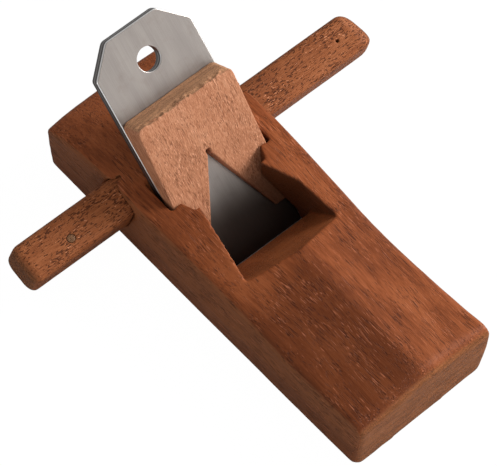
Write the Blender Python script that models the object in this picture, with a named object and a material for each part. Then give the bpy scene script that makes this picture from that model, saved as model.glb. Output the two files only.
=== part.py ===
"""Wooden block plane: stock, single iron, swallow-tail wedge and cross handle.

Frame: origin at the centre of the sole, +Z up, -Y towards the toe, +Y towards the
heel, +X to the right of somebody looking from the heel. Lengths in metres.
"""
import math

import bmesh
import bpy
import numpy as np
from mathutils import Matrix, Vector

MM = 0.001

# ---- stock -----------------------------------------------------------------
LENGTH = 170 * MM
HALF_WIDTH = 32.0 * MM          # at the ends of the sole
SIDE_SWELL = 0.4 * MM           # the sides bow out by this much at mid length
# radius of the four upright corners at the sole and at the top, (left, right)
TOE_CORNERS = ((3.4 * MM, 2.0 * MM), (5.0 * MM, 1.0 * MM))
HEEL_CORNERS = ((3.5 * MM, 1.0 * MM), (4.5 * MM, 1.2 * MM))
CORNER_TOP = 15 * MM            # height at which the top radius is reached
TOE_SKEW = 0.029                # the toe end is cut this far out of square
WIND = ((-85, 1.9), (-70, 1.1), (-50, 0.3), (-35, 0.0), (50, 0.0), (85, -0.4))  # sideways lean of the top, mm
SOLE_CHAMFER = 0.8 * MM
SIDE_UPRIGHT = 11 * MM          # the sides are upright to here, then lean in
ARRIS_EASE = 2.4 * MM           # rounding between side and top
RIDGE_SOFT = 1.6 * MM           # rounding of the crest of the top
TOE_SHOULDER = (5.5 * MM, 4.0 * MM)    # run and drop of the rounded toe end
HEEL_SHOULDER = (2.4 * MM, 1.4 * MM)
# height of the side arris, height of the crest and inset of the arris, along Y
ARRIS_Z = ((-85, 21.6), (-60, 21.8), (-40, 22.5), (-20, 24.1), (0, 25.8), (25, 27.3),
           (50, 28.2), (64, 27.3), (75, 24.7), (85, 21.3))
CREST_Z = ((-85, 25.6), (-60, 27.7), (-40, 28.9), (-18, 29.9), (5, 30.2), (30, 30.2),
           (55, 29.6), (68, 28.5), (77, 26.6), (85, 23.9))
ARRIS_INSET = ((-85, 0.3), (-50, 1.1), (-24, 1.9), (0, 1.3), (28, 0.4), (60, 0.3), (85, 0.1))
CREST_POWER = ((-85, 1.0), (-18, 1.05), (25, 1.6), (50, 2.6), (85, 3.2))  # 1 gable, 3 flat

# ---- bed, mouth and throat --------------------------------------------------
BED_ANGLE = math.radians(45)
MOUTH_Y = 4.8 * MM              # where the front face of the iron meets the sole
MOUTH_GAP = 1.6 * MM
SLOT_HALF = 23.4 * MM
FIT = 0.3 * MM                  # clearance between neighbours
WEDGE_TAPER = 0.16              # thickness gained per unit length
RAMP_SUM = 11.5 * MM            # the throat ramp is the plane y + z = RAMP_SUM
WEAR_LEAN = 0.308               # the short wall above the mouth leans by this much
# planes of the throat's cheeks, each as three points in mm; the right one has a knee
LEFT_CHEEK = (((14.5, 19.5, 29.0), (21.4, -14.5, 26.0), (21.6, 6.0, 0.0)),)
RIGHT_CHEEK = (((20.1, 3.0, 28.5), (21.4, -14.5, 26.0), (21.8, 3.0, 0.0)),
               ((14.3, 18.0, 29.0), (19.9, 5.0, 28.5), (21.4, 8.0, 0.0)))
# the cut-off ear tips lean outwards: y, then x on the bed and x at BOX_TOP, mm
EAR_CUT = ((19.5, 13.0, 20.4), (30.0, 19.5, 24.5))
BOX_TOP = 45 * MM               # cutters reach to here

# ---- iron -------------------------------------------------------------------
IRON_HALF = 22 * MM
IRON_THICK = 4.2 * MM
IRON_TIP = 0.3 * MM             # distance of the edge from the sole along the bed
IRON_CLIP_U = 87.9 * MM         # where the corners are clipped
IRON_TOP_U = 98.3 * MM
IRON_TOP_HALF = 11.7 * MM
IRON_HOLE_U = 83.9 * MM
IRON_HOLE_R = 4.75 * MM
IRON_BEVEL = math.radians(28)
IRON_EASE = 0.45 * MM

# ---- wedge ------------------------------------------------------------------
WEDGE_HALF = 22 * MM
WEDGE_FOOT_U = 11 * MM
WEDGE_BACK_TOP_U = 69.6 * MM
WEDGE_FRONT_TOP_U = 67.4 * MM
NOTCH_TOP_U = 43.4 * MM
NOTCH_TOP_HALF = 1.0 * MM
NOTCH_SLOPE = 0.44
KERF_TOP_U = 45.8 * MM
WEDGE_CORNER = 2.6 * MM

# ---- cross handle -----------------------------------------------------------
ROD_Y, ROD_Z = 45.1 * MM, 18.5 * MM
ROD_SIDE = 16 * MM
ROD_CORNER = 3.0 * MM
ROD_TILT = math.radians(18)     # its upper flat leans this far towards the toe
ROD_LEFT, ROD_RIGHT = -77.4 * MM, 84.0 * MM
ROD_SLANT = 0.20                # the right end is worn back towards its upper rear edge
PEG_X, PEG_ACROSS = -56.9 * MM, -1.9 * MM
PEG_R, PEG_DEEP = 1.55 * MM, 5 * MM
NAIL_X, NAIL_ACROSS = 71.6 * MM, -0.2 * MM
NAIL_R, NAIL_DEEP = 0.7 * MM, 4 * MM


def clear_scene():
    for ob in list(bpy.data.objects):
        bpy.data.objects.remove(ob, do_unlink=True)


def material(name, rgb, rough, metal=0.0):
    mat = bpy.data.materials.new(name)
    mat.use_nodes = True
    node = mat.node_tree.nodes["Principled BSDF"]
    node.inputs["Base Color"].default_value = (*rgb, 1)
    node.inputs["Roughness"].default_value = rough
    node.inputs["Metallic"].default_value = metal
    mat.diffuse_color = (*rgb, 1)
    return mat


def new_object(name, bm, mat=None, smooth=False):
    bmesh.ops.recalc_face_normals(bm, faces=bm.faces)
    mesh = bpy.data.meshes.new(name)
    bm.to_mesh(mesh)
    bm.free()
    ob = bpy.data.objects.new(name, mesh)
    bpy.context.scene.collection.objects.link(ob)
    if mat:
        mesh.materials.append(mat)
    if smooth:
        mesh.shade_smooth()
        mesh.set_sharp_from_angle(angle=math.radians(34))
    return ob


def hull(points):
    """Closed convex body through the points."""
    bm = bmesh.new()
    verts = [bm.verts.new(p) for p in points]
    out = bmesh.ops.convex_hull(bm, input=verts)
    spare = [v for v in out["geom_interior"] if isinstance(v, bmesh.types.BMVert)]
    bmesh.ops.delete(bm, geom=spare, context="VERTS")
    return bm


def loft(rings):
    """Closed body through rings with equal point counts, flat at both ends."""
    bm = bmesh.new()
    rows = [[bm.verts.new(p) for p in ring] for ring in rings]
    count = len(rows[0])
    for a, b in zip(rows, rows[1:]):
        for i in range(count):
            j = (i + 1) % count
            bm.faces.new((a[i], a[j], b[j], b[i]))
    bm.faces.new(rows[0])
    bm.faces.new(list(reversed(rows[-1])))
    return bm


def curve(table, y):
    """Smooth curve (Catmull-Rom) through a table of (y, value) in millimetres."""
    ys = [p[0] * MM for p in table]
    vs = [p[1] for p in table]
    y = min(max(y, ys[0]), ys[-1])
    k = max(i for i in range(len(ys) - 1) if y >= ys[i])
    grads = [(vs[min(i + 1, len(vs) - 1)] - vs[max(i - 1, 0)])
             / (ys[min(i + 1, len(ys) - 1)] - ys[max(i - 1, 0)]) for i in (k, k + 1)]
    span = ys[k + 1] - ys[k]
    t = (y - ys[k]) / span
    return ((2 * t ** 3 - 3 * t ** 2 + 1) * vs[k] + (t ** 3 - 2 * t ** 2 + t) * span * grads[0]
            + (3 * t ** 2 - 2 * t ** 3) * vs[k + 1] + (t ** 3 - t ** 2) * span * grads[1])


def end_drop(y):
    """How far the top falls at the rounded toe and heel ends."""
    run, drop = TOE_SHOULDER if y < 0 else HEEL_SHOULDER
    s = min(max((abs(y) - (LENGTH / 2 - run)) / run, 0), 1)
    return drop * (1 - math.sqrt(1 - s * s))


def half_width(y, z, side):
    """Half width at a height, on the left (side 0) or the right (side 1)."""
    foot, top = (TOE_CORNERS if y < 0 else HEEL_CORNERS)[side]
    radius = foot + (top - foot) * min(max(z / CORNER_TOP, 0), 1)
    full = HALF_WIDTH + SIDE_SWELL * (1 - (2 * y / LENGTH) ** 2)
    reach = max(radius - (LENGTH / 2 - abs(y)), 0)
    return full - radius + math.sqrt(max(radius ** 2 - reach ** 2, 0))


def top_z(x, y, arris_x):
    low = curve(ARRIS_Z, y) * MM
    high = curve(CREST_Z, y) * MM
    soft = math.sqrt(x * x + RIDGE_SOFT ** 2) - RIDGE_SOFT
    edge = math.sqrt(arris_x ** 2 + RIDGE_SOFT ** 2) - RIDGE_SOFT
    return low + (high - low) * (1 - (soft / edge) ** curve(CREST_POWER, y)) - end_drop(y)


def stock_half_section(y, side, ease_steps=4, top_steps=9):
    """Half of the outline at one station, from the sole up to the crest."""
    foot_w = half_width(y, 0, side)
    ease = ARRIS_EASE * (0.45 + 0.55 * min((LENGTH / 2 - abs(y)) / (12 * MM), 1))
    arris_x = half_width(y, CORNER_TOP, side) - curve(ARRIS_INSET, y) * MM
    arris = Vector((arris_x, top_z(arris_x, y, arris_x)))
    side_foot = Vector((half_width(y, SIDE_UPRIGHT, side), SIDE_UPRIGHT))
    top_in = arris_x - ease
    on_top = Vector((top_in, top_z(top_in, y, arris_x)))
    on_side = arris + (side_foot - arris).normalized() * ease
    mid_z = SIDE_UPRIGHT * 0.55
    points = [Vector((foot_w - SOLE_CHAMFER, 0)), Vector((foot_w, SOLE_CHAMFER)),
              Vector((half_width(y, mid_z, side), mid_z)), side_foot, (side_foot + on_side) / 2]
    for i in range(ease_steps + 1):
        t = i / ease_steps
        points.append(on_side * (1 - t) ** 2 + arris * 2 * t * (1 - t) + on_top * t * t)
    for i in range(1, top_steps + 1):
        x = top_in * (1 - i / top_steps)
        points.append(Vector((x, top_z(x, y, arris_x))))
    return points


def settle(x, y, z):
    """Lean the ends a little sideways and set the toe end out of square."""
    near_toe = min(max((-y - LENGTH / 2 + 30 * MM) / (30 * MM), 0), 1)
    lean = curve(WIND, y) * MM * z / (20 * MM)
    return (x + lean, y + TOE_SKEW * x * near_toe, z)


def stock_stations():
    ends = (0, 0.15, 0.5, 1.1, 1.9, 2.9, 4.0, 5.5, 8.0)
    middle = np.linspace(-LENGTH / 2 + 12 * MM, LENGTH / 2 - 12 * MM, 25)
    return ([-LENGTH / 2 + e * MM for e in ends] + [float(y) for y in middle]
            + [LENGTH / 2 - e * MM for e in reversed(ends)])


def bed_point(x, u, n):
    """World place of a point u along the bed from the sole and n off the iron's face."""
    c, s = math.cos(BED_ANGLE), math.sin(BED_ANGLE)
    return Vector((x, MOUTH_Y + u * c - n * s, u * s + n * c))


def prism(yz, half_x):
    return hull([(x, y, z) for y, z in yz for x in (-half_x, half_x)])


def cheek_prism(yz):
    """Body between the cheeks over a convex polygon in the YZ plane."""
    bm = prism(yz, 40 * MM)
    for sign, cheek in ((1, RIGHT_CHEEK), (-1, LEFT_CHEEK)):
        for corners in cheek:
            a, b, c = (Vector((sign * x, y, z)) * MM for x, y, z in corners)
            normal = (b - a).cross(c - a)
            if normal.x * sign < 0:
                normal.negate()
            cut_edges = bmesh.ops.bisect_plane(
                bm, geom=bm.verts[:] + bm.edges[:] + bm.faces[:], plane_co=a, plane_no=normal,
                clear_outer=True)["geom_cut"]
            bmesh.ops.contextual_create(
                bm, geom=[e for e in cut_edges if isinstance(e, bmesh.types.BMEdge)])
    return bm


def rounded_square(side, radius, steps=5):
    flat = side / 2 - radius
    points = []
    for k in range(4):
        cx = flat if k in (0, 3) else -flat
        cz = flat if k in (0, 1) else -flat
        for i in range(steps + 1):
            a = math.pi / 2 * (k + i / steps)
            points.append((cx + radius * math.cos(a), cz + radius * math.sin(a)))
    return points


def cut(target, cutters):
    for tool in cutters:
        tool.hide_render = True
        tool.display_type = "WIRE"
        mod = target.modifiers.new(tool.name, "BOOLEAN")
        mod.operation = "DIFFERENCE"
        mod.solver = "EXACT"
        mod.object = tool


def build_stock(mat):
    rings = []
    for y in stock_stations():
        right = [settle(p.x, y, p.y) for p in stock_half_section(y, 1)]
        left = [settle(-p.x, y, p.y) for p in stock_half_section(y, 0)[:-1]]
        rings.append(right + left[::-1])
    stock = new_object("stock", loft(rings), mat, smooth=True)

    def over(u):
        return WEDGE_TAPER * u + FIT + 0.05 * MM
    low, high = -8 * MM, 70 * MM
    floor = -IRON_THICK - FIT
    slot = [bed_point(0, u, n).yz for u, n in
            ((low, floor), (high, floor), (high, over(high)), (low, over(low)))]
    back = bed_point(0, 0, -1 * MM)            # a plane inside the slot, above the bed
    lean = back.y - back.z                     # on it y = z + lean
    rear_top = (BOX_TOP + lean, BOX_TOP)
    ramp_foot = ((RAMP_SUM + lean) / 2, (RAMP_SUM - lean) / 2)
    wear_y = MOUTH_Y - MOUTH_GAP
    wear_foot_z = (wear_y - lean) / (1 + WEAR_LEAN)
    cutters = [
        new_object("cut_slot", prism(slot, SLOT_HALF)),
        new_object("cut_ramp", cheek_prism(
            [ramp_foot, (RAMP_SUM - BOX_TOP, BOX_TOP), rear_top])),
        new_object("cut_wear", cheek_prism(
            [(wear_foot_z + lean, wear_foot_z), (wear_y - WEAR_LEAN * BOX_TOP, BOX_TOP), rear_top])),
    ]
    tips = []
    for y, low_x, top_x in EAR_CUT:
        for sign in (-1, 1):
            tips += [(sign * low_x * MM, y * MM, y * MM - lean), (sign * top_x * MM, y * MM, BOX_TOP)]
    cutters.append(new_object("cut_ear_tips", hull(tips)))
    ring = rounded_square(ROD_SIDE + 2 * FIT, ROD_CORNER + FIT)
    rod_hole = new_object("cut_rod_hole", loft(
        [[(x, a, b) for a, b in ring] for x in (-40 * MM, 40 * MM)]))
    rod_hole.location = (0, ROD_Y, ROD_Z)
    rod_hole.rotation_euler = (ROD_TILT, 0, 0)
    cutters.append(rod_hole)
    cut(stock, cutters)
    return stock


def build_iron(mat):
    """Modelled flat (local Y up the bed, local Z off its front face), then leaned."""
    outline = [(-IRON_HALF, IRON_TIP), (IRON_HALF, IRON_TIP), (IRON_HALF, IRON_CLIP_U),
               (IRON_TOP_HALF, IRON_TOP_U), (-IRON_TOP_HALF, IRON_TOP_U),
               (-IRON_HALF, IRON_CLIP_U)]
    bm = bmesh.new()
    face = bm.faces.new([bm.verts.new((x, u, 0)) for x, u in outline])
    grown = bmesh.ops.extrude_face_region(bm, geom=[face])
    lower = [v for v in grown["geom"] if isinstance(v, bmesh.types.BMVert)]
    bmesh.ops.translate(bm, verts=lower, vec=(0, 0, -IRON_THICK))
    corners = [e for e in bm.edges if abs(e.verts[0].co.z - e.verts[1].co.z) > IRON_THICK / 2
               and e.verts[0].co.y > 50 * MM]
    bmesh.ops.bevel(bm, geom=corners, offset=1.6 * MM, segments=4, profile=0.5, affect="EDGES")
    rims = [e for e in bm.edges if abs(e.verts[0].co.z - e.verts[1].co.z) < 0.1 * MM
            and max(v.co.y for v in e.verts) > 2 * MM]
    bmesh.ops.bevel(bm, geom=rims, offset=IRON_EASE, segments=2, profile=0.5, affect="EDGES")
    iron = new_object("iron", bm, mat, smooth=True)
    iron.rotation_euler = (BED_ANGLE, 0, 0)
    iron.location = bed_point(0, 0, 0)

    hole = bmesh.new()
    bmesh.ops.create_cone(hole, cap_ends=True, segments=48, radius1=IRON_HOLE_R,
                          radius2=IRON_HOLE_R, depth=20 * MM,
                          matrix=Matrix.Translation((0, IRON_HOLE_U, 0)))
    run = 20 * MM
    bevel = hull([(x, y, z) for x in (-40 * MM, 40 * MM) for y, z in
                  ((IRON_TIP, 0), (IRON_TIP + run, -run * math.tan(IRON_BEVEL)), (IRON_TIP, -run))])
    cutters = [new_object("cut_iron_hole", hole), new_object("cut_iron_bevel", bevel)]
    for tool in cutters:
        tool.parent = iron
    cut(iron, cutters)
    return iron


def build_wedge(mat):
    """Same local axes as the iron: Y up the bed, Z off the iron's face."""
    front = WEDGE_TAPER * np.array([WEDGE_FOOT_U, WEDGE_FRONT_TOP_U])
    side = [(WEDGE_FOOT_U, FIT), (WEDGE_BACK_TOP_U, FIT), (WEDGE_FRONT_TOP_U, float(front[1])),
            (WEDGE_FOOT_U, float(front[0]))]
    bm = hull([(x, u, n) for u, n in side for x in (-WEDGE_HALF, WEDGE_HALF)])
    bmesh.ops.dissolve_limit(bm, angle_limit=0.01, verts=bm.verts, edges=bm.edges)
    corners = [e for e in bm.edges if min(v.co.y for v in e.verts) > 50 * MM
               and abs(e.verts[0].co.x - e.verts[1].co.x) < 0.1 * MM]
    bmesh.ops.bevel(bm, geom=corners, offset=WEDGE_CORNER, segments=4, profile=0.5,
                    affect="EDGES")
    wedge = new_object("wedge", bm, mat, smooth=True)
    wedge.rotation_euler = (BED_ANGLE, 0, 0)
    wedge.location = bed_point(0, 0, 0)

    foot_half = NOTCH_TOP_HALF + NOTCH_SLOPE * (NOTCH_TOP_U - 5 * MM)
    notch = hull([(x, u, n) for n in (-5 * MM, 20 * MM) for x, u in
                  ((-NOTCH_TOP_HALF, NOTCH_TOP_U), (NOTCH_TOP_HALF, NOTCH_TOP_U),
                   (foot_half, 5 * MM), (-foot_half, 5 * MM))])
    kerf = hull([(x, u, n) for n in (-5 * MM, 20 * MM) for x in (-NOTCH_TOP_HALF, NOTCH_TOP_HALF)
                 for u in (NOTCH_TOP_U - 2 * MM, KERF_TOP_U)])
    cutters = [new_object("cut_notch", notch), new_object("cut_kerf", kerf)]
    for tool in cutters:
        tool.parent = wedge
    cut(wedge, cutters)
    return wedge


def build_handle(mat, peg_mat):
    """Rod along X: the left end flat with eased edges, the right end domed."""
    ease, dome = 3.2 * MM, 5.5 * MM
    rings = []
    stations = [(ROD_LEFT + ease * (1 - math.cos(a)), 1 - (1 - math.sin(a)) * ease / (ROD_SIDE / 2))
                for a in np.linspace(0, math.pi / 2, 7)]
    stations += [(float(x), 1.0) for x in np.linspace(ROD_LEFT + 12 * MM, ROD_RIGHT - 14 * MM, 8)]
    stations += [(ROD_RIGHT - dome + dome * math.sin(a), 0.56 + 0.44 * math.cos(a))
                 for a in np.linspace(0, math.pi / 2, 9)]
    for x, scale in stations:
        side = ROD_SIDE * scale
        slant = ROD_SLANT * min(max((x - ROD_RIGHT + 12 * MM) / (12 * MM), 0), 1)
        rings.append([(x - slant * (a + b), a, b) for a, b in
                      rounded_square(side, min(ROD_CORNER, side * 0.499))])
    handle = new_object("handle", loft(rings), mat, smooth=True)
    handle.location = (0, ROD_Y, ROD_Z)
    handle.rotation_euler = (ROD_TILT, 0, 0)

    top = ROD_SIDE / 2
    holes = []
    for name, spot, radius, deep in (
            ("cut_peg", (PEG_X, PEG_ACROSS, top), PEG_R + 0.2 * MM, PEG_DEEP + FIT),
            ("cut_nail", (NAIL_X, NAIL_ACROSS, top), NAIL_R, NAIL_DEEP)):
        bm = bmesh.new()
        bmesh.ops.create_cone(bm, cap_ends=True, segments=24, radius1=radius, radius2=radius,
                              depth=2 * deep, matrix=Matrix.Translation(spot))
        tool = new_object(name, bm)
        tool.parent = handle
        holes.append(tool)
    cut(handle, holes)

    bm = bmesh.new()
    bmesh.ops.create_cone(bm, cap_ends=True, segments=24, radius1=PEG_R, radius2=PEG_R,
                          depth=PEG_DEEP, matrix=Matrix.Translation((0, 0, -PEG_DEEP / 2)))
    peg = new_object("handle_peg", bm, peg_mat, smooth=True)
    peg.parent = handle
    peg.location = (PEG_X, PEG_ACROSS, top)
    return handle, peg


clear_scene()
build_stock(material("stock_wood", (0.30, 0.115, 0.055), 0.55))
build_iron(material("iron_steel", (0.52, 0.49, 0.46), 0.32, 1.0))
build_wedge(material("wedge_wood", (0.52, 0.26, 0.155), 0.62))
build_handle(material("handle_wood", (0.36, 0.14, 0.065), 0.55),
             material("peg_wood", (0.30, 0.15, 0.08), 0.6))
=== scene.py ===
"""Looks of the wooden block plane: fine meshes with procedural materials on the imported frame."""
import math

import bmesh
import bpy
import numpy as np
from mathutils import Matrix, Vector, noise


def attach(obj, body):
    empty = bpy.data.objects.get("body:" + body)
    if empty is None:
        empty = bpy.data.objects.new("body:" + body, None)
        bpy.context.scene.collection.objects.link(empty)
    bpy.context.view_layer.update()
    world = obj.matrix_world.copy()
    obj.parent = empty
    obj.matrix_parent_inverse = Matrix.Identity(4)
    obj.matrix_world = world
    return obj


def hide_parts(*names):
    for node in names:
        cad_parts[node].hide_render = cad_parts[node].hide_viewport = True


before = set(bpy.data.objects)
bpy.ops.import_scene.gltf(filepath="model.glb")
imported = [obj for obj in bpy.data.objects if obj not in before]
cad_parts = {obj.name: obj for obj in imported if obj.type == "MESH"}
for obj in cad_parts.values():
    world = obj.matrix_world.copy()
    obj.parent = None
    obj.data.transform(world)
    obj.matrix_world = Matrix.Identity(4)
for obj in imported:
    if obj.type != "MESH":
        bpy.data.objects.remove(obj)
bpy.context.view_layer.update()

MM = 0.001
BED_ANGLE = math.radians(45)
MOUTH_Y = 4.8 * MM              # the iron's front face meets the sole here
ROD_Y, ROD_Z = 45.1 * MM, 18.5 * MM
ROD_TILT = math.radians(18)
BED = Matrix.Translation((0, MOUTH_Y, 0)) @ Matrix.Rotation(BED_ANGLE, 4, "X")
ROD = Matrix.Translation((0, ROD_Y, ROD_Z)) @ Matrix.Rotation(ROD_TILT, 4, "X")

# iron, in the bed's frame: X across, Y up the bed, Z off the front face
IRON_HALF, IRON_THICK = 22 * MM, 4.2 * MM
IRON_TIP, IRON_CLIP_U, IRON_TOP_U, IRON_TOP_HALF = 0.3 * MM, 87.9 * MM, 98.3 * MM, 11.7 * MM
IRON_HOLE_U, IRON_HOLE_R = 83.9 * MM, 4.75 * MM
IRON_GRIND = 7.9 * MM           # the ground bevel meets the back this far up
PEG_AT, PEG_R, PEG_DEEP = (-56.9 * MM, -1.9 * MM, 8 * MM), 1.55 * MM, 5 * MM

# wedge, in the bed's frame: the torn front edge of its thick end, and a small pit beside it
TEAR_DEEP, TEAR_REACH, TEAR_GRAIN = 2.2 * MM, 2 * MM, 3.5 * MM
PIT_AT, PIT_R = Vector((-19.4, 68.6, 8.6)) * MM, 0.9 * MM
CHEEK_SHADE, FOOT_SHADE = 0.75, 0.85      # painted shade on the right cheek and the wedge's right foot, where the right ear's shadow falls


# ---- meshes ------------------------------------------------------------------

def link(name, mesh, matrix=None):
    ob = bpy.data.objects.new(name, mesh)
    bpy.context.scene.collection.objects.link(ob)
    if matrix:
        ob.matrix_world = matrix
    return ob


def evaluated(ob):
    bpy.context.view_layer.update()
    return bpy.data.meshes.new_from_object(ob.evaluated_get(bpy.context.evaluated_depsgraph_get()))


def coords(mesh):
    co = np.empty(len(mesh.vertices) * 3, np.float32)
    mesh.vertices.foreach_get("co", co)
    return co.reshape(-1, 3).astype(float)


def set_coords(mesh, co):
    mesh.vertices.foreach_set("co", co.astype(np.float32).ravel())
    mesh.update()


def normals(mesh):
    out = np.empty(len(mesh.vertices) * 3, np.float32)
    mesh.vertex_normals.foreach_get("vector", out)
    return out.reshape(-1, 3).astype(float)


def edge_pairs(mesh):
    pairs = np.empty(len(mesh.edges) * 2, np.int32)
    mesh.edges.foreach_get("vertices", pairs)
    return pairs.reshape(-1, 2)


def neighbour_mean(values, pairs):
    count = len(values)
    total = np.zeros_like(values)
    weight = np.bincount(pairs.ravel(), minlength=count)
    for a, b in ((0, 1), (1, 0)):
        for k in range(values.shape[1]):
            total[:, k] += np.bincount(pairs[:, a], values[pairs[:, b], k], count)
    return total / np.maximum(weight, 1)[:, None]


def relaxed(co, pairs, rounds):
    """Each round moves every point half way to the mean of its neighbours."""
    for _ in range(rounds):
        co = co + 0.5 * (neighbour_mean(co, pairs) - co)
    return co


def field(co, size, seed, stretch=(1, 1, 1)):
    """Smooth noise of about -1 to 1 at each point, with features of about the size."""
    falloff, gap, octaves = 0.9, 2.0, 3
    scale = [1 / (size * s) for s in stretch]
    shift = Vector((seed * 17.3, seed * 5.1, seed * 9.7))
    return np.array([noise.fractal(Vector((p[0] * scale[0], p[1] * scale[1], p[2] * scale[2])) + shift,
                                   falloff, gap, octaves) for p in co])


def attribute(mesh, name, values):
    mesh.attributes.new(name, "FLOAT", "POINT").data.foreach_set("value", values.astype(np.float32))


def remeshed(node, matrix, voxel, rounds):
    """Fine even mesh of a CAD node in the matrix's axes, with its sharp edges eased.

    Attributes tell where easing took wood off (wear) and where it filled a corner (hollow).
    """
    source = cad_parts[node].data.copy()
    source.transform(matrix.inverted())
    bm = bmesh.new()
    bm.from_mesh(source)
    bmesh.ops.remove_doubles(bm, verts=bm.verts, dist=0.002 * MM)
    bm.to_mesh(source)
    bm.free()
    for name in [a.name for a in source.attributes if not a.is_internal and not a.is_required]:
        source.attributes.remove(source.attributes[name])
    shell = link("shell_" + node, source)
    ob = link("fine_" + node, source.copy())
    mod = ob.modifiers.new("remesh", "REMESH")
    mod.mode, mod.voxel_size = "VOXEL", voxel
    wrap = ob.modifiers.new("wrap", "SHRINKWRAP")
    wrap.target, wrap.wrap_method = shell, "NEAREST_SURFACEPOINT"
    mesh = evaluated(ob)
    for spare in (ob, shell):
        bpy.data.objects.remove(spare)
    mesh.materials.clear()

    pairs = edge_pairs(mesh)
    before = coords(mesh)
    after = relaxed(before, pairs, rounds)
    set_coords(mesh, after)
    mesh.shade_smooth()
    lift = ((before - after) * normals(mesh)).sum(1) / voxel
    lift = relaxed(lift[:, None], pairs, 2)[:, 0]
    attribute(mesh, "wear", np.clip(lift * 3, 0, 1))
    attribute(mesh, "hollow", np.clip(-lift * 3, 0, 1))
    return mesh


def undulate(mesh, layers):
    """Moves the surface in and out by layers of (height, size, stretch, seed)."""
    co, no = coords(mesh), normals(mesh)
    shift = sum(height * field(co, size, seed, stretch) for height, size, stretch, seed in layers)
    set_coords(mesh, co + no * shift[:, None])


def rounded_outline(corners, radii, steps):
    """Closed outline with a circular arc in each corner; corners run anticlockwise."""
    points = []
    for i, corner in enumerate(corners):
        here = Vector(corner)
        to_last = (Vector(corners[i - 1]) - here).normalized()
        to_next = (Vector(corners[(i + 1) % len(corners)]) - here).normalized()
        half = to_last.angle(to_next) / 2
        reach = radii[i] / math.tan(half)
        centre = here + (to_last + to_next).normalized() * radii[i] / math.sin(half)
        start, sweep = here + to_last * reach - centre, math.pi - 2 * half
        for k in range(steps + 1 if radii[i] else 1):
            points.append(centre + Matrix.Rotation(sweep * k / steps, 2) @ start)
    return points


def inset(points, dist):
    """Moves a closed outline inwards; negative moves it outwards."""
    out = []
    for i, p in enumerate(points):
        t = (points[(i + 1) % len(points)] - points[i - 1]).normalized()
        out.append(p + Vector((-t.y, t.x)) * dist)
    return out


def build_iron():
    """Plate with eased rims, an eased hole and a ground bevel on its back."""
    corners = [(-IRON_HALF, IRON_TIP), (IRON_HALF, IRON_TIP), (IRON_HALF, IRON_CLIP_U),
               (IRON_TOP_HALF, IRON_TOP_U), (-IRON_TOP_HALF, IRON_TOP_U), (-IRON_HALF, IRON_CLIP_U)]
    outline = rounded_outline(corners, (0, 0, 2.2 * MM, 3.5 * MM, 3 * MM, 2.2 * MM), steps=10)
    hole = [Vector((IRON_HOLE_R * math.sin(a), IRON_HOLE_U + IRON_HOLE_R * math.cos(a)))
            for a in np.linspace(0, 2 * math.pi, 72, endpoint=False)]
    bm = bmesh.new()
    border, squeeze = 0.15 * MM, 0.02

    def walls(points, front, rear):
        """One wall, rounded by a front and a rear radius, with a flat border on each face."""
        rings = []
        turn = np.linspace(0, math.pi / 2, 6)
        steps = [(0, front + border, 0.0)]
        steps += [(0, front * (1 - math.cos(a)), front * (1 - math.sin(a))) for a in turn[::-1]]
        steps += [(1, rear * (1 - math.cos(a)), rear * (1 - math.sin(a))) for a in turn]
        steps += [(1, rear + border, 0.0)]
        for back, inwards, depth in steps:
            ring = []
            for p in inset(points, inwards):
                u = p.y
                if back and u < IRON_GRIND:
                    u = IRON_GRIND - (IRON_GRIND - u) * squeeze
                ring.append(bm.verts.new((p.x, u, depth - IRON_THICK if back else -depth)))
            rings.append(ring)
        for a, b in zip(rings, rings[1:]):
            for i in range(len(a)):
                j = (i + 1) % len(a)
                bm.faces.new((a[i], a[j], b[j], b[i]))
        return rings[0], rings[-1]

    outer = walls(outline, front=0.55 * MM, rear=0.5 * MM)
    inner = walls(hole, front=0.3 * MM, rear=0.3 * MM)
    for face in (0, 1):
        edges = []
        for ring in (outer[face], inner[face]):
            edges += [bm.edges.get((ring[i - 1], ring[i])) for i in range(len(ring))]
        bmesh.ops.triangle_fill(bm, use_beauty=True, use_dissolve=False, edges=edges)
    bmesh.ops.recalc_face_normals(bm, faces=bm.faces)
    mesh = bpy.data.meshes.new("iron_plate")
    bm.to_mesh(mesh)
    bm.free()
    mesh.shade_smooth()
    mesh.set_sharp_from_angle(angle=math.radians(38))
    return link("iron_plate", mesh, BED)


def build_peg():
    """Round plug, slightly domed and a hair proud of the flat."""
    bm = bmesh.new()
    rings = [(PEG_R, -PEG_DEEP), (PEG_R, -0.25 * MM), (PEG_R - 0.06 * MM, -0.06 * MM),
             (PEG_R - 0.2 * MM, 0.0), (PEG_R * 0.6, 0.08 * MM), (PEG_R * 0.25, 0.11 * MM)]
    turn = np.linspace(0, 2 * math.pi, 40, endpoint=False)
    rows = [[bm.verts.new((r * math.cos(a), r * math.sin(a), z)) for a in turn] for r, z in rings]
    for a, b in zip(rows, rows[1:]):
        for i in range(len(turn)):
            bm.faces.new((a[i - 1], a[i], b[i], b[i - 1]))
    bm.faces.new(rows[0][::-1])
    bm.faces.new(rows[-1])
    bmesh.ops.recalc_face_normals(bm, faces=bm.faces)
    mesh = bpy.data.meshes.new("peg_plug")
    bm.to_mesh(mesh)
    bm.free()
    mesh.shade_smooth()
    mesh.set_sharp_from_angle(angle=math.radians(50))
    return link("peg_plug", mesh, ROD @ Matrix.Translation(PEG_AT))


def build_stock():
    """Stock with hand-planed waviness; painted shade darkens the cheek that faces left."""
    mesh = remeshed("stock", Matrix.Identity(4), voxel=0.70 * MM, rounds=1)
    undulate(mesh, [(0.10 * MM, 16 * MM, (1, 2.5, 1), 1), (0.035 * MM, 4 * MM, (1, 3, 1), 2)])
    co, no = coords(mesh), normals(mesh)
    # painted shade: darkens the throat's right cheek, the one that faces left
    facing_left = np.clip((-no[:, 0] - 0.3) / 0.4, 0, 1)
    on_right = np.clip((co[:, 0] - 8 * MM) / (3 * MM), 0, 1)
    attribute(mesh, "painted_shade", CHEEK_SHADE * (facing_left * on_right))
    return link("stock_body", mesh)


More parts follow.
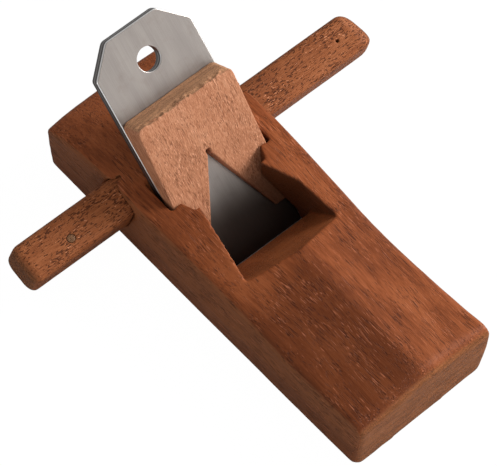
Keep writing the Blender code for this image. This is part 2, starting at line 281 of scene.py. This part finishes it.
def build_wedge():
    """Wedge with a torn edge, a pit and painted shade on its right foot."""
    mesh = remeshed("wedge", BED, voxel=0.36 * MM, rounds=3)
    undulate(mesh, [(0.05 * MM, 9 * MM, (1, 3, 1), 3), (0.03 * MM, 1.6 * MM, (1, 4, 1), 4)])
    co, no = coords(mesh), normals(mesh)

    front = no[:, 2] > 0.95
    slope, level = np.polyfit(co[front, 1], co[front, 2], 1)
    from_front = level + slope * co[:, 1] - co[:, 2]
    from_end = co[:, 1].max() - co[:, 1]
    near = np.exp(-(from_front / TEAR_REACH) ** 2 - (from_end / TEAR_REACH) ** 2)
    torn = np.clip(0.4 + 2.2 * field(co, TEAR_GRAIN, 8), 0, 1)
    co -= no * (TEAR_DEEP * near * torn)[:, None]
    away = np.linalg.norm(co - np.array(PIT_AT), axis=1)
    co -= no * (PIT_R * np.exp(-(away / PIT_R) ** 2))[:, None]
    set_coords(mesh, co)

    # painted shade: darkens the wedge's right foot, where the right ear's shadow falls
    low = np.clip((34 * MM - co[:, 1]) / (11 * MM), 0, 1)
    on_right = np.clip((co[:, 0] - 3 * MM) / (5 * MM), 0, 1)
    attribute(mesh, "painted_shade", FOOT_SHADE * (low * on_right))
    return link("wedge_block", mesh, BED)


def build_handle():
    """Square rod, hand-planed."""
    mesh = remeshed("handle", ROD, voxel=0.42 * MM, rounds=3)
    undulate(mesh, [(0.07 * MM, 12 * MM, (2.5, 1, 1), 5), (0.03 * MM, 2.5 * MM, (3, 1, 1), 6)])
    return link("handle_rod", mesh, ROD)


# ---- materials ---------------------------------------------------------------

class Graph:
    """Short way to build a node tree."""

    def __init__(self, name):
        self.mat = bpy.data.materials.new(name)
        self.mat.use_nodes = True
        self.tree = self.mat.node_tree
        self.shader = self.tree.nodes["Principled BSDF"]

    def put(self, kind, *links, **values):
        """Adds a node; links are (input, socket or value) pairs, values its own settings."""
        node = self.tree.nodes.new("ShaderNode" + kind)
        for key, value in values.items():
            setattr(node, key, value)
        for key, value in links:
            self.give(node.inputs[key], value)
        return node

    def give(self, socket, value):
        if isinstance(value, bpy.types.NodeSocket):
            self.tree.links.new(value, socket)
        else:
            socket.default_value = value

    def math(self, op, a, b=0.0):
        return self.put("Math", (0, a), (1, b), operation=op).outputs[0]

    def times(self, a, b):
        return self.math("MULTIPLY", a, b)

    def plus(self, a, b):
        return self.math("ADD", a, b)

    def ramp(self, value, lo, hi, to=(0.0, 1.0), smooth=True):
        """The value's way from lo to hi, as 0 to 1 or as the range to."""
        node = self.put("MapRange", ("Value", value), ("From Min", lo), ("From Max", hi),
                        ("To Min", to[0]), ("To Max", to[1]), clamp=True,
                        interpolation_type="SMOOTHSTEP" if smooth else "LINEAR")
        return node.outputs["Result"]

    def mix(self, share, a, b):
        """Colour a, turned into colour b by the share."""
        node = self.put("Mix", ("Factor", share), data_type="RGBA")
        first, second, result = node.inputs[6], node.inputs[7], node.outputs[2]
        for socket, value in ((first, a), (second, b)):
            self.give(socket, (*value, 1) if isinstance(value, tuple) else value)
        return result

    def stretched(self, vector, scale):
        return self.put("Mapping", ("Vector", vector), ("Scale", scale)).outputs[0]

    def noise(self, vector, scale, detail, rough):
        """Noise with features about 1 / scale millimetres long on each axis."""
        node = self.put("TexNoise", ("Vector", self.stretched(vector, scale)), ("Scale", 1.0),
                        ("Detail", detail), ("Roughness", rough))
        return node.outputs["Fac"]

    def shade(self, **values):
        for key, value in values.items():
            self.give(self.shader.inputs[key.replace("_", " ")], value)


def linear(r, g, b):
    """Linear colour from screen values of 0 to 255."""
    return tuple((v / 255 / 12.92) if v <= 10.3 else ((v / 255 + 0.055) / 1.055) ** 2.4
                 for v in (r, g, b))


def millimetres(graph, along, shift=(0, 0, 0)):
    """Object coordinates in mm with X grain turned to Y, and how squarely a face cuts the grain."""
    coord = graph.put("TexCoord")
    turn = (0, 0, math.pi / 2) if along == "X" else (0, 0, 0)
    mm = graph.put("Mapping", ("Vector", coord.outputs["Object"]), ("Rotation", turn),
                   ("Scale", (1000, 1000, 1000)), ("Location", shift)).outputs[0]
    grain = graph.put("SeparateXYZ", ("Vector", coord.outputs["Normal"])).outputs[along]
    return mm, graph.math("ABSOLUTE", grain)


def scaled(values, by):
    return tuple(v * by for v in values)


def darker_areas(g, colour, dark, bands, fibres, darker_share):
    """Duller brown sides, a dark left half of the top towards the toe, a dark band low down."""
    coord = g.tree.nodes["Texture Coordinate"]
    place = g.put("SeparateXYZ", (0, coord.outputs["Object"])).outputs
    facing = g.put("SeparateXYZ", (0, coord.outputs["Normal"])).outputs
    wander = g.ramp(bands, 0.3, 0.7, (-4 * MM, 4 * MM))
    left = g.ramp(g.plus(place["X"], wander), 2 * MM, -3 * MM)
    toe = g.ramp(g.plus(place["Y"], wander), -14 * MM, -36 * MM)
    dull = g.times(g.times(left, toe), g.ramp(facing["Z"], 0.5, 0.9))
    foot = g.times(g.ramp(g.plus(place["Z"], wander), 13 * MM, 5 * MM), 0.8)
    flank = g.ramp(g.math("ABSOLUTE", facing["X"]), 0.6, 0.85)
    dull_brown = g.mix(fibres, linear(112, 66, 40), linear(142, 91, 58))
    colour = g.mix(g.times(flank, 0.75), colour, dull_brown)
    return g.mix(g.times(g.math("MAXIMUM", dull, foot), darker_share), colour, scaled(dark, 0.7))


def wood(name, along, dark, mid, light, pore, end, figure=0.5, pore_cut=0.60, pore_size=(5.0, 0.55, 5.0),
         pore_depth=0.8, gloss=(0.38, 0.55), bump=0.10, shift=(0, 0, 0), glint_share=0.5, fibre=0.5,
         rubbed=0.35, darker_share=0.0):
    """Open-pored hardwood: bands, fibres, dark vessels, painted glints as light flecks, end grain and
    worn edges.
    """
    g = Graph(name)
    mm, facing = millimetres(g, along, shift)

    # a slow drift across the grain, so that no streak runs dead straight
    drift = g.put("TexNoise", ("Vector", g.stretched(mm, (0.05, 0.02, 0.05))), ("Scale", 1.0),
                  ("Detail", 2.0)).outputs["Color"]
    middle, reach = (0.5, 0.5, 0.5), (5, 0, 5)
    drift = g.put("VectorMath", (0, drift), (1, middle), operation="SUBTRACT").outputs[0]
    drift = g.put("VectorMath", (0, drift), (1, reach), operation="MULTIPLY").outputs[0]
    mm = g.put("VectorMath", (0, mm), (1, drift), operation="ADD").outputs[0]

    bands = g.noise(mm, (0.09, 0.03, 0.09), 3, 0.5)
    streaks = g.noise(mm, (0.9, 0.06, 0.9), 4, 0.6)
    fibres = g.noise(mm, (4.2, 0.12, 4.2), 3, 0.6)
    vessels = g.noise(mm, pore_size, 2, 0.45)
    crowd = g.noise(mm, (0.13, 0.07, 0.13), 3, 0.6)
    glint_noise = g.noise(mm, scaled(pore_size, 0.9), 2, 0.5)

    # long grain
    tone = g.plus(g.times(bands, 0.55), g.times(streaks, 0.45))
    colour = g.mix(g.times(g.ramp(tone, 0.55, 0.38), figure), mid, dark)
    colour = g.mix(g.times(g.ramp(tone, 0.47, 0.64), figure), colour, light)
    colour = g.mix(g.times(g.ramp(fibres, 0.45, 0.72), fibre), colour, light)
    colour = g.mix(g.times(g.ramp(fibres, 0.48, 0.30), fibre), colour, dark)
    # darker left half of the top towards the toe, and darker low down
    if darker_share:
        colour = darker_areas(g, colour, dark, bands, fibres, darker_share)

    # end grain
    across = g.ramp(facing, 0.55, 0.9)
    rings = g.noise(mm, (0.10, 0.6, 0.75), 4, 0.65)
    dots = g.noise(mm, (2.6, 2.6, 2.6), 3, 0.6)
    grain_end = g.mix(g.ramp(rings, 0.36, 0.62), scaled(end, 0.72), scaled(end, 1.12))
    grain_end = g.mix(g.times(g.ramp(dots, 0.52, 0.66), 0.65), grain_end, pore)
    grain_end = g.mix(g.times(g.ramp(dots, 0.46, 0.34), 0.55), grain_end, light)
    colour = g.mix(across, colour, grain_end)

    # open pores and painted glints as light specks, crowded in some places and sparse in others
    cut = g.plus(vessels, g.ramp(crowd, 0.36, 0.62, (-0.07, 0.035)))
    pits = g.ramp(cut, pore_cut, pore_cut + 0.05)
    colour = g.mix(g.times(pits, pore_depth), colour, pore)
    glint = g.plus(glint_noise, g.ramp(crowd, 0.36, 0.62, (-0.05, 0.03)))
    painted_glints = g.times(g.ramp(glint, 0.645, 0.70), glint_share)
    # painted glints: light flecks in place of specular glints
    colour = g.mix(painted_glints, colour, tuple(min(1, c * 1.5 + 0.04) for c in light))

    # rubbed arrises, painted shade in corners, painted shade on the right cheek and the wedge's right
    # foot
    wear = g.put("Attribute", attribute_name="wear").outputs["Fac"]
    hollow = g.put("Attribute", attribute_name="hollow").outputs["Fac"]
    rub = g.times(wear, g.ramp(g.noise(mm, (0.4, 0.25, 0.4), 3, 0.6), 0.35, 0.7))
    colour = g.mix(g.times(rub, rubbed), colour, scaled(light, 1.15))
    # painted shade where easing filled a corner
    colour = g.mix(g.times(hollow, 0.6), colour, scaled(dark, 0.35))
    # painted shade on the right cheek and on the wedge's right foot
    painted_shade = g.put("Attribute", attribute_name="painted_shade").outputs["Fac"]
    colour = g.mix(painted_shade, colour, scaled(dark, 0.3))

    # gloss and relief
    rough = g.ramp(g.plus(streaks, g.times(pits, 0.4)), 0.3, 0.9, gloss, smooth=False)
    height = g.math("SUBTRACT", g.times(fibres, 0.6), pits)
    height = g.plus(height, g.times(painted_glints, 0.5))
    height = g.plus(height, g.times(streaks, 0.8))
    tilt = g.put("Bump", ("Strength", 0.7), ("Distance", bump * MM), ("Height", height)).outputs[0]
    g.shade(Base_Color=colour, Roughness=rough, Normal=tilt)
    g.shader.inputs["Specular IOR Level"].default_value = 0.12
    return g.mat


def steel(name):
    """Satin plate, brushed lengthwise, with painted reflections on its edges (dark and light bands,
    bright rims) and painted shade on its foot.
    """
    g = Graph(name)
    mm, _ = millimetres(g, "Y")
    place = g.put("SeparateXYZ", (0, mm)).outputs
    up, depth = place["Y"], g.times(place["Z"], -1.0)

    brush = g.noise(mm, (5.5, 0.05, 5.5), 4, 0.65)
    broad = g.noise(mm, (0.16, 0.03, 0.16), 3, 0.5)
    scratch = g.noise(mm, (2.2, 0.022, 2.2), 2, 0.5)
    blotch = g.noise(mm, (0.12, 0.12, 0.12), 4, 0.6)
    tone = g.plus(g.times(brush, 0.5), g.times(broad, 0.5))
    colour = g.mix(g.ramp(tone, 0.35, 0.65), linear(158, 150, 145), linear(174, 166, 160))
    colour = g.mix(g.times(g.ramp(scratch, 0.62, 0.70), 0.3), colour, linear(172, 167, 162))
    colour = g.mix(g.times(g.ramp(blotch, 0.5, 0.75), 0.2), colour, linear(122, 104, 90))

    # by depth below the front face and height up the bed, in mm
    # painted reflection: dark and light bands on the plate's edge faces
    wall = g.times(g.ramp(depth, 0.45, 0.6), g.ramp(depth, 4.0, 3.8))
    band = g.times(g.ramp(depth, 1.5, 1.8), g.ramp(depth, 2.6, 2.3))
    edge_reflection = g.mix(band, linear(72, 72, 74), linear(150, 148, 146))
    colour = g.mix(g.times(wall, 0.75), colour, edge_reflection)
    # painted highlight: a bright rim along the front arris, high up the bed
    rim_highlight = g.times(g.ramp(depth, 0.02, 0.12), g.ramp(depth, 0.5, 0.4))
    colour = g.mix(g.times(rim_highlight, g.ramp(up, 40.0, 60.0)), colour, linear(250, 248, 246))
    # painted shade: the iron darkens towards its foot, down inside the throat
    colour = g.mix(g.ramp(up, 40.0, 17.0, (0.0, 0.85)), colour, linear(64, 54, 48))

    # gloss and relief
    rough = g.ramp(g.plus(brush, g.times(blotch, 0.5)), 0.4, 1.1, (0.36, 0.50), smooth=False)
    height = g.plus(brush, g.times(scratch, 0.5))
    tilt = g.put("Bump", ("Strength", 0.25), ("Distance", 0.02 * MM), ("Height", height)).outputs[0]
    g.shade(Base_Color=colour, Roughness=rough, Normal=tilt)
    g.shader.inputs["Metallic"].default_value = 1.0
    return g.mat


def floor_material():
    """Pale matt floor that also glows white to the camera, except under the plane."""
    under_half = (("X", 28 * MM), ("Y", 20 * MM))
    glow_share, glow_strength = 0.93, 1.06
    g = Graph("pale_floor")
    place = g.put("SeparateXYZ", (0, g.put("TexCoord").outputs["Object"])).outputs
    inside = [g.math("LESS_THAN", g.math("ABSOLUTE", place[axis]), half)
              for axis, half in under_half]
    open_floor = g.math("SUBTRACT", 1.0, g.times(*inside))
    lit = g.times(g.put("LightPath").outputs["Is Camera Ray"], open_floor)
    glow = g.put("Emission", ("Color", (1, 1, 1, 1)), ("Strength", glow_strength)).outputs[0]
    g.shader.inputs["Base Color"].default_value = (0.5, 0.5, 0.5, 1)
    g.shader.inputs["Roughness"].default_value = 0.9
    both = g.put("MixShader", (0, g.times(lit, glow_share)), (1, g.shader.outputs[0]), (2, glow))
    g.tree.links.new(both.outputs[0], g.tree.nodes["Material Output"].inputs[0])
    return g.mat


# ---- studio ------------------------------------------------------------------

def area_light(name, place, size, power):
    """Round lamp aimed at the origin: place and size in metres, power in watts."""
    data = bpy.data.lights.new(name, "AREA")
    data.shape, data.size, data.energy = "DISK", size, power
    ob = bpy.data.objects.new(name, data)
    bpy.context.scene.collection.objects.link(ob)
    ob.location = place
    ob.rotation_mode = "QUATERNION"
    ob.rotation_quaternion = (-Vector(place)).to_track_quat("-Z", "Y")


def studio():
    """Floor, lamps and a sky that lights the plane softly but looks white to the camera."""
    half, below = 3.0, 0.02 * MM
    sky_light, sky_seen = 0.36, 1.0
    mesh = bpy.data.meshes.new("floor")
    mesh.from_pydata([(-half, -half, 0), (half, -half, 0), (half, half, 0), (-half, half, 0)],
                     [], [(0, 1, 2, 3)])
    floor = link("floor", mesh)
    floor.location.z = -below
    mesh.materials.append(floor_material())
    world = bpy.data.worlds.new("studio")
    bpy.context.scene.world = world
    world.use_nodes = True
    sky, nodes = world.node_tree.nodes["Background"], world.node_tree.nodes
    sky.inputs[0].default_value = (1, 1, 1, 1)
    seen = nodes.new("ShaderNodeMapRange")
    seen.inputs["To Min"].default_value = sky_light
    seen.inputs["To Max"].default_value = sky_seen
    world.node_tree.links.new(nodes.new("ShaderNodeLightPath").outputs["Is Camera Ray"], seen.inputs[0])
    world.node_tree.links.new(seen.outputs[0], sky.inputs[1])
    area_light("key", (0.98, -0.24, 0.47), 0.5, 15.5)
    area_light("low_front", (0.15, -1.20, 0.26), 0.8, 3.4)
    area_light("left_fill", (-1.10, -0.15, 0.35), 0.8, 2.4)
    bpy.context.scene.view_settings.view_transform = "Standard"


def camera():
    """Looks down on the plane from beyond its toe and to the left, from far away."""
    turn, rise = math.radians(-40.7075), math.radians(58.1852)
    distance, lens = 1.8, 358.35
    go_left, go_up = 6.13 * MM, 10.10 * MM
    back = Vector((math.sin(turn) * math.cos(rise), -math.cos(turn) * math.cos(rise), math.sin(rise)))
    right = Vector((math.cos(turn), math.sin(turn), 0))
    up = back.cross(right)
    data = bpy.data.cameras.new("camera")
    data.sensor_width, data.lens = 36, lens
    data.clip_start, data.clip_end = 0.1, 20
    ob = bpy.data.objects.new("camera", data)
    bpy.context.scene.collection.objects.link(ob)
    ob.location = back * distance - right * go_left + up * go_up
    ob.rotation_mode = "QUATERNION"
    ob.rotation_quaternion = Matrix((right, up, back)).transposed().to_quaternion()
    bpy.context.scene.camera = ob


# ---- assembly ----------------------------------------------------------------

# build function, CAD node, body, slot, material; a wood's colours run dark, mid, light, pore, end
PIECES = [
    (build_stock, "stock", "stock", "stock_wood", wood(
        "stock_wood", "Y", linear(110, 55, 28), linear(138, 72, 38), linear(158, 88, 51),
        linear(56, 26, 14), linear(149, 92, 54), figure=0.9, pore_cut=0.585, pore_size=(3.4, 0.14, 3.4),
        pore_depth=0.65, bump=0.16, fibre=0.6, glint_share=0.6, rubbed=0.6, darker_share=0.5)),
    (build_iron, "iron", "iron", "iron_steel", steel("iron_steel")),
    (build_wedge, "wedge", "wedge", "wedge_wood", wood(
        "wedge_wood", "Y", linear(156, 98, 68), linear(188, 126, 92), linear(208, 150, 116),
        linear(108, 62, 40), linear(202, 150, 112), pore_cut=0.60, pore_size=(3.2, 0.07, 3.2),
        pore_depth=0.6, gloss=(0.5, 0.65), bump=0.24, shift=(40, 7, 3), glint_share=0.5, fibre=0.9)),
    (build_handle, "handle", "handle", "handle_wood", wood(
        "handle_wood", "X", linear(112, 61, 34), linear(150, 85, 48), linear(172, 106, 67),
        linear(70, 34, 18), linear(124, 76, 44), pore_cut=0.545, pore_size=(2.2, 0.55, 2.2),
        pore_depth=0.8, gloss=(0.42, 0.6), bump=0.28, shift=(51, 80, 31), glint_share=0.9, fibre=0.7)),
    (build_peg, "handle_peg", "handle", "peg_wood", wood(
        "peg_wood", "Z", linear(80, 52, 36), linear(134, 92, 64), linear(160, 120, 90),
        linear(40, 24, 18), linear(130, 92, 64), shift=(5, 5, 5))),
]

studio()
camera()
for build, node, body, slot, material in PIECES:
    piece = build()
    piece.data.materials.clear()
    piece.data.materials.append(material)
    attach(piece, body)
    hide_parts(node)
